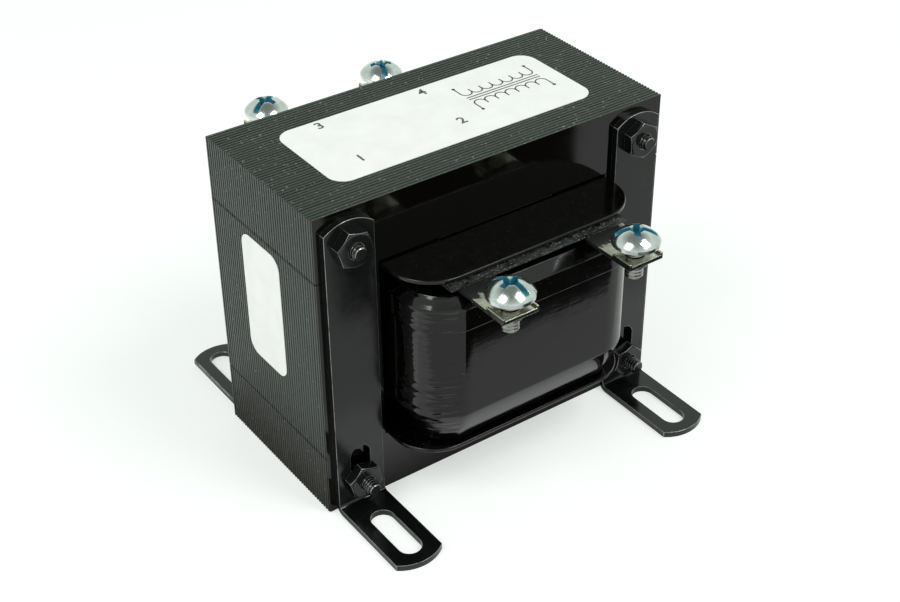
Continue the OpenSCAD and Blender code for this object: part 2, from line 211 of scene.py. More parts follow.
class CoilLooks(bpy.types.PropertyGroup):
    """Taped coil and its former."""

    tape_colour: colour("Tape colour", "Varnished outer tape", (0.0013, 0.0011, 0.001))
    former_colour: colour("Former colour", "Varnished board of the former", (0.0022, 0.0019, 0.0017))
    copper_colour: colour("Copper colour", "Enamelled leads", (0.50, 0.20, 0.09))
    wire_colour: colour("Wire colour", "Wound wire under black varnish", (0.06, 0.026, 0.014))
    paper_colour: colour("Paper colour", "Insulation paper", (0.05, 0.038, 0.02))
    dust_colour: colour("Dust colour", "Specks on the tape", (0.08, 0.08, 0.08))
    former_edge: length("Former edge", "Edge radius of the former", 0.28 * MM)
    wall: length("Wrap thickness", "Thickness of the tape wrap", 0.8 * MM)
    corner: length("Corner radius", "Corner radius of the finished coil", 11 * MM)
    low_rise: length("Taper height", "Height of the lower taper", 9.6 * MM)
    low_inset: length("Taper depth", "Depth of the lower taper", 3.8 * MM)
    top_drop: length("Shoulder height", "Height of the upper shoulder", 2.8 * MM)
    top_inset: length("Shoulder depth", "Depth of the upper shoulder", 2.4 * MM)
    wrinkle: length("Wrinkle depth", "Deepest wrinkle at a corner", 0.28 * MM)
    wrinkle_pitch: length("Wrinkle pitch", "Height of one wrinkle", 3.1 * MM)
    lap: length("Lap", "Step where one turn of tape laps over another", 0.14 * MM)
    lap_height: length("Lap height", "Height of the lap over the mounting plane", 51 * MM)
    wrinkle_fade: length("Wrinkle fade", "How far wrinkles run on past a corner", 3 * MM)
    far_share: share("Far corners", "Wrinkles at the right corners, as a share of the left ones", 0.08)
    calm_height: length("Calm height", "Height where the folds are shallowest", 43 * MM)
    end_place: length("Tape end", "Where the last turn ends on the front", -22 * MM, -1)
    end_low: length("Tape end foot", "Height where the last turn's end begins", 31 * MM)
    rows: IntProperty(name="Rows", description="Rows of faces up the wrap", default=150, min=8)
    columns: IntProperty(name="Columns", description="Faces round the wrap", default=400, min=16)


class FittingLooks(bpy.types.PropertyGroup):
    """Enamelled straps, bolts and nuts."""

    enamel_colour: colour("Enamel colour", "Black enamel", (0.004, 0.0045, 0.0043))
    # Worn steel along the edges, also used as painted highlight lines on them.
    worn_highlight_colour: colour("Worn colour", "Steel where the enamel is thin", (0.42, 0.43, 0.41))
    strap_edge: length("Strap edge", "Edge radius of the straps", 0.28 * MM)
    nut_edge: length("Nut edge", "Edge radius of nuts and heads", 0.14 * MM)
    bore_edge: length("Bore edge", "Countersink of the nuts' bores", 0.32 * MM)
    bolt_radius: length("Bolt radius", "Thread radius of the core bolts", 1.75 * MM)
    bolt_pitch: length("Bolt pitch", "Thread pitch of the core bolts", 0.8 * MM)
    into_nut: length("Thread in nut", "Thread drawn inside the nut's mouth", 0.6 * MM)


class TerminalLooks(bpy.types.PropertyGroup):
    """Boards, tabs, screws and leads."""

    board_colour: colour("Board colour", "Varnish crust on the boards", (0.010, 0.0115, 0.0105))
    zinc_colour: colour("Zinc colour", "Plating of the tabs", (0.76, 0.76, 0.63))
    screw_colour: colour("Screw colour", "Plating of the screws", (0.74, 0.79, 0.78))
    shank_colour: colour("Shank colour", "Plating of the screws' threads", (0.34, 0.34, 0.31))
    recess_colour: colour("Recess colour", "Blue-green tint in the recess", (0.045, 0.31, 0.42))
    tab_edge: length("Tab edge", "Edge radius of the tabs", 0.14 * MM)
    head_edge: length("Head edge", "Edge radius of the screw heads", 0.1 * MM)
    head_radius: length("Head radius", "Radius of a screw head", 5.5 * MM)
    head_height: length("Head height", "Height of a screw head", 3.7 * MM)
    head_dome: length("Head dome", "Height of the dome of a screw head", 2.8 * MM)
    screw_radius: length("Screw radius", "Thread radius of the screws", 2.1 * MM)
    screw_pitch: length("Screw pitch", "Thread pitch of the screws", 0.8 * MM)
    crust: length("Crust depth", "Depth of the varnish crust", 0.3 * MM)
    varnish_reach: length("Varnish reach", "Black varnish on a tab, from the core", 21.5 * MM)


class LabelLooks(bpy.types.PropertyGroup):
    """Labels and what is printed on them."""

    label_colour: colour("Label colour", "Label film", (0.86, 0.845, 0.845))
    ink_colour: colour("Ink colour", "Printing ink", (0.07, 0.07, 0.07))
    digit_height: length("Digit height", "Height of the plain numbers", 3.0 * MM)
    stroke: length("Stroke", "Width of the drawn lines", 0.38 * MM)
    ink_rise: length("Ink rise", "Height of the ink over the label", 0.01 * MM)


class StageLooks(bpy.types.PropertyGroup):
    """Floor, light and camera."""

    floor_colour: colour("Floor colour", "Plain pale floor", (0.5, 0.5, 0.5))
    floor_glow: share("Floor glow", "Light that the floor gives, as a lit table does", 0.56)
    camera_place: FloatVectorProperty(
        name="Camera place",
        description="Where the camera stands",
        default=(-0.1856, -0.26666, 0.25193),
        subtype="TRANSLATION",
        unit="LENGTH",
    )
    camera_azimuth: view_angle("Camera azimuth", "Direction of view, from +Y towards +X", 35.268)
    camera_elevation: view_angle("Camera elevation", "Angle of view below the horizon", 34.554)
    camera_roll: view_angle("Camera roll", "Turn of the camera about its line of view", -0.505)
    lens: FloatProperty(
        name="Lens", description="Focal length on a 36 mm sensor, in millimetres", default=63.468
    )
    surround: FloatProperty(
        name="Surround", description="Brightness of the white surround", default=0.85, min=0
    )
    key: lamp_power("Key light", "Power of the front softbox", 3.0)
    fill: lamp_power("Fill light", "Power of the side softbox", 2.2)
    softbox_size: length("Softbox size", "Side of both softboxes", 0.35)
    # The dark card is a painted dark reflection, seen only in the gloss of the front faces.
    flag_distance: length("Flag distance", "Dark card's distance in front of the middle", 0.09)
    flag_height: length("Flag height", "Height of the dark card", 0.045)
    flag_length: length("Flag length", "Length of the dark card", 0.086)
    flag_middle: length("Flag middle", "Dark card's middle, to the right of the part's", 0.037)
    shade_front: share("Front shade", "How far the floor in front is dimmed in the gloss", 0.42)
    shade_near: share("Near shade", "How far the floor by the part is dimmed in the gloss", 0.7)
    shade_reach: length("Shade reach", "Where the near shade ends", 0.02)
    shade_start: length("Shade start", "Where the front shade begins", 0.05)


GROUPS = (CoreLooks, CoilLooks, FittingLooks, TerminalLooks, LabelLooks, StageLooks)


class TransformerLooks(bpy.types.PropertyGroup):
    """All the settings, one group for each kind of piece."""

    core: PointerProperty(type=CoreLooks)
    coil: PointerProperty(type=CoilLooks)
    fittings: PointerProperty(type=FittingLooks)
    terminals: PointerProperty(type=TerminalLooks)
    labels: PointerProperty(type=LabelLooks)
    stage: PointerProperty(type=StageLooks)


# ---- finishes ----


class Finish:
    """Node material that is built up one node at a time on Object coordinates."""

    def __init__(self, name, **sockets):
        self.material = bpy.data.materials.new(name)
        self.material.use_nodes = True
        self.tree = self.material.node_tree
        self.shader = self.tree.nodes["Principled BSDF"]
        self.place = self.add("ShaderNodeTexCoord").outputs["Object"]
        self.put(self.shader, sockets)

    def put(self, node, sockets):
        """Sets or links the named sockets of a node."""
        for name, value in sockets.items():
            socket = node.inputs[name.replace("_", " ") if isinstance(name, str) else name]
            if isinstance(value, bpy.types.NodeSocket):
                self.tree.links.new(value, socket)
            else:
                socket.default_value = value

    def add(self, kind, sockets=None, **settings):
        """New node with its settings and sockets."""
        node = self.tree.nodes.new(kind)
        for name, value in settings.items():
            setattr(node, name, value)
        self.put(node, sockets or {})
        return node

    def noise(self, scale, detail=4.0, roughness=0.55, vector=None):
        """Noise of so many waves for each metre, from 0 to 1."""
        sockets = {"Scale": scale, "Detail": detail, "Roughness": roughness}
        sockets["Vector"] = vector or self.place
        return self.add("ShaderNodeTexNoise", sockets).outputs["Fac"]

    def streaks(self, x, y, z, detail, roughness=0.55):
        """Noise of so many waves for each metre on each axis."""
        scaled = {"Vector": self.place, "Scale": (x, y, z)}
        return self.noise(1.0, detail, roughness, self.add("ShaderNodeMapping", scaled).outputs[0])

    def levels(self, value, low, high, to_low=0.0, to_high=1.0):
        """Value with the stretch from low to high spread from to_low to to_high."""
        sockets = {0: value, 1: low, 2: high, 3: to_low, 4: to_high}
        return self.add("ShaderNodeMapRange", sockets).outputs[0]

    def spread(self, value, low, high):
        """A noise's usual range, spread from low to high."""
        return self.levels(value, *NOISE_RANGE, low, high)

    def sum(self, kind, first, second=0.0):
        """Result of one Math node."""
        return self.add("ShaderNodeMath", {0: first, 1: second}, operation=kind).outputs[0]

    def size(self, value):
        """Value without its sign."""
        return self.sum("ABSOLUTE", value)

    def axes(self, vector):
        """The X, Y and Z outputs of a vector."""
        return self.add("ShaderNodeSeparateXYZ", {0: vector}).outputs

    def facing(self):
        """The X, Y and Z outputs of the direction that a face points in."""
        return self.axes(self.add("ShaderNodeNewGeometry").outputs["True Normal"])

    def mix(self, amount, first, second):
        """Colour between two colours."""
        sockets = {0: amount, 6: first, 7: second}
        return self.add("ShaderNodeMix", sockets, data_type="RGBA").outputs[2]

    def blend(self, amount, first, second):
        """Number between two numbers."""
        return self.add("ShaderNodeMix", {0: amount, 2: first, 3: second}).outputs[0]

    def bump(self, height, distance, strength=1.0, normal=None):
        """Bump of a height that is worth so many metres."""
        sockets = {"Height": height, "Distance": distance, "Strength": strength}
        if normal is not None:
            sockets["Normal"] = normal
        return self.add("ShaderNodeBump", sockets).outputs[0]

    def shade(self, **sockets):
        """Links or sets sockets of the shader, and returns the material."""
        self.put(self.shader, sockets)
        return self.material


def rgba(tone, gain=1.0):
    """Colour with an alpha, brightened by a gain."""
    return (*[min(1.0, part * gain) for part in tone], 1.0)


def seam_dots(finish, looks, stack, height):
    """The butt joints of each second plate, at the height of the seam that has them."""
    half = finish.sum("LESS_THAN", finish.sum("FRACT", stack), 0.5)
    upper, lower = (
        finish.size(finish.sum("SUBTRACT", height, seam)) for seam in (looks.seam_high, looks.seam_low)
    )
    first, second = (lower, upper) if UPRIGHT_SECOND else (upper, lower)
    return finish.sum("LESS_THAN", finish.blend(half, second, first), looks.seam_width / 2)


def plate_tone(finish, looks, tint, patches, step, height):
    """Colour of the plate edges: streaked, patchy and dusty, with painted shade that makes them darker
    and browner low down, and painted light on the steps between plates.
    """
    edge = looks.edge_colour
    tone = finish.mix(finish.levels(tint, 0.35, 0.95), rgba(edge, 0.4), rgba(edge, 2.4))
    tone = finish.mix(finish.levels(patches, 0.4, 0.75, 0.0, 0.6), tone, rgba(edge, 2.6))
    # Painted shade: darker and browner towards the bottom of the plate edges.
    low = finish.levels(height, 30 * MM, 8 * MM)
    tone = finish.mix(low, tone, rgba(looks.low_shade_colour))
    # Painted light: the step walls get a brighter colour.
    tone = finish.mix(step, tone, rgba(looks.step_light_colour))
    specks = finish.levels(finish.noise(1500, 1.0), 0.69, 0.73, 0.0, 0.6)
    return finish.mix(specks, tone, rgba(looks.dust_colour))


def varnished_steel(looks):
    """Mirror-like black varnish on the flat faces and satin varnish on the plate edges."""
    finish = Finish("varnished_steel")
    facing = finish.sum("GREATER_THAN", finish.size(finish.facing()["Y"]), 0.5)
    parts = finish.axes(finish.place)
    depth = parts["Y"]
    outermost = finish.sum("GREATER_THAN", finish.size(depth), CORE_FACE - 0.1 * MM)
    flat = finish.sum("MULTIPLY", facing, outermost)
    by_side = finish.sum("GREATER_THAN", finish.size(parts["X"]), CORE_SIDE - 0.3 * MM)
    # Mask of the step walls, which get painted light.
    step = finish.sum("MULTIPLY", finish.sum("SUBTRACT", facing, flat), by_side)
    stack = finish.sum("DIVIDE", finish.sum("ADD", depth, CORE_FACE), looks.plate_pitch)
    pair = {"W": finish.sum("FLOOR", stack)}
    own = finish.add("ShaderNodeTexWhiteNoise", pair, noise_dimensions="1D").outputs["Value"]
    streaks = finish.streaks(22, 2100, 22, 3.0)
    patches = finish.noise(70, 5.0)
    tint = finish.sum("ADD", finish.sum("MULTIPLY", own, 0.35), finish.sum("MULTIPLY", streaks, 0.9))
    rough, smooth = looks.edge_roughness, looks.face_roughness
    edge_rough = finish.levels(tint, 0.35, 0.95, rough - 0.08, rough + 0.14)
    face_rough = finish.spread(patches, smooth - 0.03, smooth + 0.05)
    ripple = finish.bump(finish.noise(55, 2.0), 0.2 * MM, finish.levels(flat, 0, 1, 0.1, 0.25))
    grain = finish.levels(flat, 0, 1, 0.7, 0.05)
    edge_tone = plate_tone(finish, looks, tint, patches, step, parts["Z"])
    dots = seam_dots(finish, looks, stack, parts["Z"])
    dots = finish.sum("MULTIPLY", dots, finish.sum("SUBTRACT", 1.0, flat))
    tone = finish.mix(flat, edge_tone, rgba(looks.face_colour))
    return finish.shade(
        Base_Color=finish.mix(dots, tone, rgba(looks.gap_colour)),
        Metallic=dots,
        Roughness=finish.blend(flat, edge_rough, face_rough),
        Normal=finish.bump(finish.noise(1800, 3.0), 0.05 * MM, grain, ripple),
    )


def varnished_tape(looks):
    """Gloss black tape under varnish, with fine creases and dust."""
    finish = Finish("varnished_tape")
    creases = finish.streaks(70, 70, 620, 6.0, 0.6)
    waves = finish.noise(110, 3.0)
    dust = finish.levels(finish.noise(2600, 1.0), 0.74, 0.8)
    normal = finish.bump(waves, 0.2 * MM, 0.2)
    normal = finish.bump(creases, 0.06 * MM, 0.25, normal)
    return finish.shade(
        Base_Color=finish.mix(dust, rgba(looks.tape_colour), rgba(looks.dust_colour)),
        Roughness=finish.spread(waves, 0.06, 0.13),
        Normal=normal,
    )


def varnished_board(name, tone, crust):
    """Pressboard under brushed varnish; a higher crust makes it rougher and paler."""
    finish = Finish(name)
    clumps = finish.noise(420, 6.0, 0.62)
    streaks = finish.streaks(60, 700, 700, 4.0, 0.5)
    start = 0.71 - 0.1 * crust
    dust = finish.levels(finish.noise(2300, 1.0), start, start + 0.06, 0.0, 0.25 + 0.5 * crust)
    base = finish.mix(
        finish.levels(clumps, 0.42, 0.66), rgba(tone, 0.35), rgba(tone, 1.0 + 1.6 * crust)
    )
    base = finish.mix(dust, base, (0.2, 0.2, 0.19, 1))
    normal = finish.bump(clumps, (0.03 + 0.33 * crust) * MM, 0.15 + 0.75 * crust)
    normal = finish.bump(streaks, 0.04 * MM, 0.2 + 0.2 * crust, normal)
    return finish.shade(
        Base_Color=base,
        Roughness=finish.spread(clumps, 0.08 + 0.14 * crust, 0.16 + 0.24 * crust),
        Normal=normal,
    )


def black_enamel(looks):
    """Black enamel that is worn to steel along the edges; the bare steel also stands in as painted
    highlight lines along the edges.
    """
    finish = Finish("black_enamel")
    edge = finish.add("ShaderNodeAttribute", attribute_name="edge").outputs["Fac"]
    patches = finish.noise(240, 5.0, 0.6)
    peel = finish.noise(700, 3.0)
    scuffs = finish.levels(finish.streaks(500, 500, 90, 5.0, 0.6), 0.62, 0.72)
    # Real wear and painted highlight: the edges turn to bright steel.
    worn = finish.sum("MULTIPLY", edge, finish.levels(patches, 0.36, 0.56, 0.15, 0.9))
    tone = finish.mix(
        finish.sum("MULTIPLY", scuffs, 0.25), rgba(looks.enamel_colour), rgba(looks.enamel_colour, 6)
    )
    return finish.shade(
        Base_Color=finish.mix(worn, tone, rgba(looks.worn_highlight_colour)),
        Metallic=finish.sum("MULTIPLY", worn, 0.8),
        Roughness=finish.spread(patches, 0.1, 0.2),
        Normal=finish.bump(peel, 0.03 * MM, 0.2, finish.bump(patches, 0.08 * MM, 0.15)),
    )


def zinc(looks):
    """Yellowish zinc plate on the tabs, with black varnish on their roots."""
    finish = Finish("tab_zinc")
    out = finish.size(finish.axes(finish.place)["Y"])
    wobble = finish.spread(finish.noise(500, 3.0), -1.6 * MM, 1.6 * MM)
    limit = CORE_FACE + looks.varnish_reach
    bare = finish.levels(finish.sum("ADD", out, wobble), limit - 0.4 * MM, limit + 0.4 * MM)
    brushed = finish.streaks(2500, 160, 2500, 3.0, 0.5)
    bloom = finish.noise(330, 4.0)
    cut = finish.sum("LESS_THAN", finish.size(finish.facing()["Z"]), 0.3)
    plate = finish.mix(
        finish.levels(bloom, 0.35, 0.7), rgba(looks.zinc_colour), rgba(looks.zinc_colour, 0.62)
    )
    plate = finish.mix(cut, plate, rgba(looks.zinc_colour, 0.12))
    return finish.shade(
        Base_Color=finish.mix(bare, (0.008, 0.008, 0.008, 1), plate),
        Metallic=bare,
        Roughness=finish.blend(bare, 0.2, finish.spread(bloom, 0.2, 0.38)),
        Normal=finish.bump(brushed, 0.02 * MM, 0.35),
    )


def bright_zinc(name, tone, roughness, metallic=1.0):
    """Bright plate with a faint bloom."""
    finish = Finish(name, Metallic=metallic)
    bloom = finish.noise(450, 4.0)
    rings = finish.noise(2400, 2.0)
    return finish.shade(
        Base_Color=finish.mix(finish.levels(bloom, 0.3, 0.75), rgba(tone), rgba(tone, 0.7)),
        Roughness=finish.spread(bloom, roughness * 0.7, roughness * 1.4),
        Normal=finish.bump(rings, 0.01 * MM, 0.3),
    )


def wound_wire(name, tone):
    """Rows of enamelled wire under varnish."""
    finish = Finish(name, Metallic=0.85)
    rows = finish.add(
        "ShaderNodeTexWave",
        {"Vector": finish.place, "Scale": 260.0, "Distortion": 0.6, "Detail": 1.0},
        bands_direction="Z",
    ).outputs["Fac"]
    return finish.shade(
        Base_Color=finish.mix(rows, rgba(tone, 0.5), rgba(tone)),
        Roughness=finish.spread(finish.noise(300), 0.25, 0.4),
        Normal=finish.bump(rows, 0.2 * MM, 0.8),
    )


def label_film(name, tone, mottle):
    """Smooth film or ink with a slight mottle."""
    finish = Finish(name)
    cloud = finish.noise(160, 4.0)
    tooth = finish.noise(3200, 2.0)
    return finish.shade(
        Base_Color=finish.mix(
            finish.spread(cloud, 0, mottle), rgba(tone), rgba(tone, 0.72)
        ),
        Roughness=finish.spread(cloud, 0.32, 0.46),
        Normal=finish.bump(tooth, 0.012 * MM, 0.4, finish.bump(cloud, 0.15 * MM, 0.12)),
    )


def paper(tone):
    """Varnished insulation paper."""
    finish = Finish("insulation_paper")
    fibre = finish.streaks(900, 900, 200, 6.0, 0.6)
    return finish.shade(
        Base_Color=finish.mix(fibre, rgba(tone, 0.6), rgba(tone)),
        Roughness=finish.spread(fibre, 0.35, 0.5),
        Normal=finish.bump(fibre, 0.05 * MM, 0.5),
    )


# ---- pieces ----


def dress(name, material):
    """Gives a CAD node its finish."""
    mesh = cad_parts[name].data
    mesh.materials.clear()
    mesh.materials.append(material)


def mesh_object(bm, name, materials):
    """Turns a bmesh into an object of the scene, and frees it."""
    mesh = bpy.data.meshes.new(name)
    bm.to_mesh(mesh)
    bm.free()
    for material in materials:
        mesh.materials.append(material)
    obj = bpy.data.objects.new(name, mesh)
    bpy.context.scene.collection.objects.link(obj)
    return obj


def piece(bm, name, materials, stands_for=(), sharp=35.0):
    """Turns a bmesh into a piece that rides with the part."""
    obj = mesh_object(bm, name, materials)
    mesh = obj.data
    mesh.polygons.foreach_set("use_smooth", [True] * len(mesh.polygons))
    mesh.set_sharp_from_angle(angle=math.radians(sharp))
    if "edge" in mesh.attributes:
        weighted = obj.modifiers.new("weighted", "WEIGHTED_NORMAL")
        weighted.keep_sharp = True
    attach(obj, "root")
    if stands_for:
        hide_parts(*stands_for)


def cad_copy(name):
    """Bmesh copy of a CAD node, with its loose triangles merged into whole faces."""
    bm = bmesh.new()
    bm.from_mesh(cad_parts[name].data)
    bmesh.ops.remove_doubles(bm, verts=bm.verts, dist=0.001 * MM)
    bmesh.ops.dissolve_limit(
        bm, angle_limit=math.radians(0.5), verts=bm.verts, edges=bm.edges, use_dissolve_boundaries=False
    )
    return bm


def bevel(bm, edges, width, segments):
    """Bevels the edges, and returns the new faces."""
    made = bmesh.ops.bevel(
        bm,
        geom=edges,
        offset=width,
        offset_type="OFFSET",
        segments=segments,
        profile=0.5,
        affect="EDGES",
        clamp_overlap=True,
        material=-1,
    )
    return made["faces"]


def soften(bm, radius):
    """Rounds the sharp edges, and marks the rounded faces in the attribute edge."""
    marks = bm.faces.layers.float.new("edge")
    sharp = [
        e for e in bm.edges
        if len(e.link_faces) == 2 and e.calc_face_angle(0) > math.radians(SHARP)
    ]
    for face in bevel(bm, sharp, radius, 2):
        face[marks] = 1.0


def cut_off(bm, point, outward):
    """Cuts away what lies outward of a plane, and closes the cut."""
    geom = bm.verts[:] + bm.edges[:] + bm.faces[:]
    cut = bmesh.ops.bisect_plane(
        bm, geom=geom, plane_co=point, plane_no=outward, clear_outer=True, dist=0.0001 * MM
    )
    rim = [e for e in cut["geom_cut"] if isinstance(e, bmesh.types.BMEdge)]
    bmesh.ops.holes_fill(bm, edges=rim, sides=0)


def threaded_rod(bm, radius, pitch, rise, taper, matrix):
    """Adds a rod along Z with a helical V thread and a tapered tip, then places it."""
    rod = bmesh.new()
    depth = THREAD_DEPTH * pitch
    turns = int(rise / pitch) + 3
    crest = [(radius, height * pitch) for height in THREAD_CREST]
    outline = [(radius - depth, 0), *crest, (radius - depth, pitch)]
    marks = rod.faces.layers.float.new("edge")
    verts = [rod.verts.new((x, 0, z - 2 * pitch)) for x, z in outline]
    edges = [rod.edges.new(pair) for pair in zip(verts, verts[1:])]
    rise_step = pitch / THREAD_STEPS
    sweep(rod, verts + edges, (0, 0, 0), rise_step, math.tau * turns, THREAD_STEPS * turns)
    bmesh.ops.remove_doubles(rod, verts=rod.verts, dist=0.002 * MM)
    cut_off(rod, (0, 0, rise), (0, 0, 1))
    cut_off(rod, (0, 0, 0), (0, 0, -1))
    # Thread crests go into the attribute edge, where the enamel turns to bright steel as wear and
    # painted highlight.
    for face in rod.faces:
        if face.calc_center_median().xy.length > radius - 0.35 * depth:
            face[marks] = 1.0
    for v in rod.verts:
        near = (v.co.z - (rise - taper)) / taper
        reach = Vector((v.co.x, v.co.y)).length
        limit = radius - 0.9 * depth * max(0.0, near)
        if reach > limit > 0:
            v.co.x *= limit / reach
            v.co.y *= limit / reach
    bmesh.ops.recalc_face_normals(rod, faces=rod.faces)
    bmesh.ops.transform(rod, matrix=matrix, verts=rod.verts)
    join(bm, rod)


def sweep(bm, outline, centre, rise, turn, steps):
    """Spins an outline about an upright axis, and raises it at each step."""
    bmesh.ops.spin(
        bm,
        geom=outline,
        cent=centre,
        axis=(0, 0, 1),
        dvec=(0, 0, rise),
        angle=turn,
        steps=steps,
        use_merge=False,
        use_duplicate=False,
    )


def join(bm, other):
    """Adds another bmesh to this one, and frees it."""
    mesh = bpy.data.meshes.new("joined")
    other.to_mesh(mesh)
    other.free()
    bm.from_mesh(mesh)
    bpy.data.meshes.remove(mesh)


def soft_copy(node, radius, name, material):
    """Replaces a CAD node by a copy with soft edges."""
    bm = cad_copy(node)
    soften(bm, radius)
    piece(bm, name, [material], [node])


def clamp(value, low=0.0):
    """Value held between low and 1."""
    return max(low, min(1.0, value))


def round_rect(turn, half_x, half_y, radius):
    """Point and outward direction on a rounded rectangle, at a share of the way round."""
    straight = [2 * (half_y - radius), 2 * (half_x - radius)] * 2
    arc = math.pi / 2 * radius
    total = sum(straight) + 4 * arc
    way = turn % 1.0 * total
    centres = [(1, 1), (-1, 1), (-1, -1), (1, -1)]
    for side in range(4):
        cx, cy = (c * (half - radius) for c, half in zip(centres[side], (half_x, half_y)))
        start = side * math.pi / 2
        if way < arc:
            angle = start + way / radius
            out = Vector((math.cos(angle), math.sin(angle)))
            return Vector((cx, cy)) + radius * out, out
        way -= arc
        run = straight[1] if side % 2 == 0 else straight[0]
        if way < run:
            out = Vector((math.cos(start + math.pi / 2), math.sin(start + math.pi / 2)))
            along = Vector((-out.y, out.x))
            return Vector((cx, cy)) + radius * out + way * along, out
        way -= run
    return round_rect(0.0, half_x, half_y, radius)


def corner_weight(spot, half_x, half_y, looks):
    """How near a spot is to a wrinkled corner: 1 in the corner, fading along the sides."""
    past_x = abs(spot.x) - (half_x - looks.corner)
    past_y = abs(spot.y) - (half_y - looks.corner)
    near = clamp(1 + past_x / looks.wrinkle_fade) * clamp(1 + past_y / looks.wrinkle_fade)
    return near * (1.0 if spot.x < 0 else looks.far_share)


def tape_sag(spot, z, looks, half_x, half_y):
    """Depth of the tape's folds at a spot on the coil's side, and of its last turn's end."""
    corner = corner_weight(spot, half_x, half_y, looks)
    along = (spot.x - spot.y) / (60 * MM)
    deep = 0.0
    for octave, part in enumerate(FOLD_SHARES):
        pitch = looks.wrinkle_pitch / 2**octave
        lean = noise.noise(Vector((spot.x * 45, spot.y * 45, z * 40 + octave)))
        height = z / pitch + 0.9 * lean
        crest = 1 - min(1.0, abs(noise.noise(Vector((along * 2, 3.7 + octave, height)))) * 2.6)
        deep += part * (1 - crest**2)
    broad = 0.5 + 0.5 * noise.noise(Vector((spot.x * 30, spot.y * 30, z * 60)))
    calm = clamp(abs(z - looks.calm_height) / CALM_REACH, CALM_LEAST)
    past_end = clamp((looks.end_place - spot.x) / END_SLOPE)
    if spot.y < 0 and spot.x < 0:
        corner *= past_end
    sag = looks.wrinkle * (calm * corner * deep + BROAD_SHARE * broad)
    if spot.y < 0 and looks.end_low < z < looks.lap_height:
        sag += looks.lap * past_end
    return sag


def make_wrap(looks):
    """Tape wrap: one ring of points drawn up the outside and down the inside of its wall."""
    low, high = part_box("coil_wrap")
    half_x, half_y = high.x, high.y
    rows = looks.rows
    heights = [low.z + (high.z - low.z) * i / rows for i in range(rows + 1)]
    heights = sorted([*heights, looks.lap_height - LAP_STEP, looks.lap_height + LAP_STEP])
    path = []
    for z in heights:
        below = max(0.0, (low.z + looks.low_rise - z) / looks.low_rise)
        above = max(0.0, (z - (high.z - looks.top_drop)) / looks.top_drop)
        inset = looks.low_inset * below**TAPER_POWER + looks.top_inset * above
        if z < looks.lap_height:
            inset += looks.lap
        path.append((z, inset, True))
    inner = path[:: rows // 4]
    if inner[-1] != path[-1]:
        inner.append(path[-1])
    for z, inset, outside in reversed(inner):
        path.append((z, inset + looks.wall, False))
    bm = bmesh.new()
    made = bmesh.ops.create_circle(bm, cap_ends=False, radius=half_x, segments=looks.columns)
    ring = made["verts"]

    def settle(verts, z, inset, outside):
        for i, v in enumerate(verts):
            spot, out = round_rect(i / looks.columns, half_x, half_y, looks.corner)
            sag = tape_sag(spot, z, looks, half_x, half_y) if outside else 0.0
            spot = spot - out * (inset + sag)
            v.co = (spot.x, spot.y, z)

    settle(ring, *path[0])
    first = ring_edges(ring)
    edges = first
    for step in path[1:]:
        made = bmesh.ops.extrude_edge_only(bm, edges=edges)
        verts = [g for g in made["geom"] if isinstance(g, bmesh.types.BMVert)]
        edges = [g for g in made["geom"] if isinstance(g, bmesh.types.BMEdge)]
        settle(verts, *step)
    bmesh.ops.bridge_loops(bm, edges=first + edges)
    bmesh.ops.recalc_face_normals(bm, faces=bm.faces)
    return bm


def ring_edges(verts):
    """Edges that join the points of a ring."""
    inside = set(verts)
    return list({e for v in verts for e in v.link_edges if e.other_vert(v) in inside})


class MakeOperator:
    """What the operators share."""

    bl_options = {"REGISTER", "UNDO"}


class TRANSFORMER_OT_core(MakeOperator, bpy.types.Operator):
    """Varnishes the laminations."""

    bl_idname = "transformer.core"
    bl_label = "Core"

    def execute(self, context):
        steel = varnished_steel(context.scene.transformer.core)
        for name in PLATES:
            dress(name, steel)
        return {"FINISHED"}


class TRANSFORMER_OT_coil(MakeOperator, bpy.types.Operator):
    """Makes the wrinkled tape wrap, and dresses the windings inside it."""

    bl_idname = "transformer.coil"
    bl_label = "Coil"

    def execute(self, context):
        looks = context.scene.transformer.coil
        wire = wound_wire("wound_wire", looks.wire_colour)
        for name in ("inner_winding", "outer_winding"):
            dress(name, wire)
        dress("winding_insulation", paper(looks.paper_colour))
        piece(
            make_wrap(looks), "tape_wrap", [varnished_tape(looks)], ["coil_wrap"], 80.0
        )
        return {"FINISHED"}


class TRANSFORMER_OT_former(MakeOperator, bpy.types.Operator):
    """Makes the coil former with rounded flange rims."""

    bl_idname = "transformer.former"
    bl_label = "Coil former"

    def execute(self, context):
        looks = context.scene.transformer.coil
        board = varnished_board("former_board", looks.former_colour, 0.0)
        soft_copy("coil_former", looks.former_edge, "former_varnished", board)
        return {"FINISHED"}


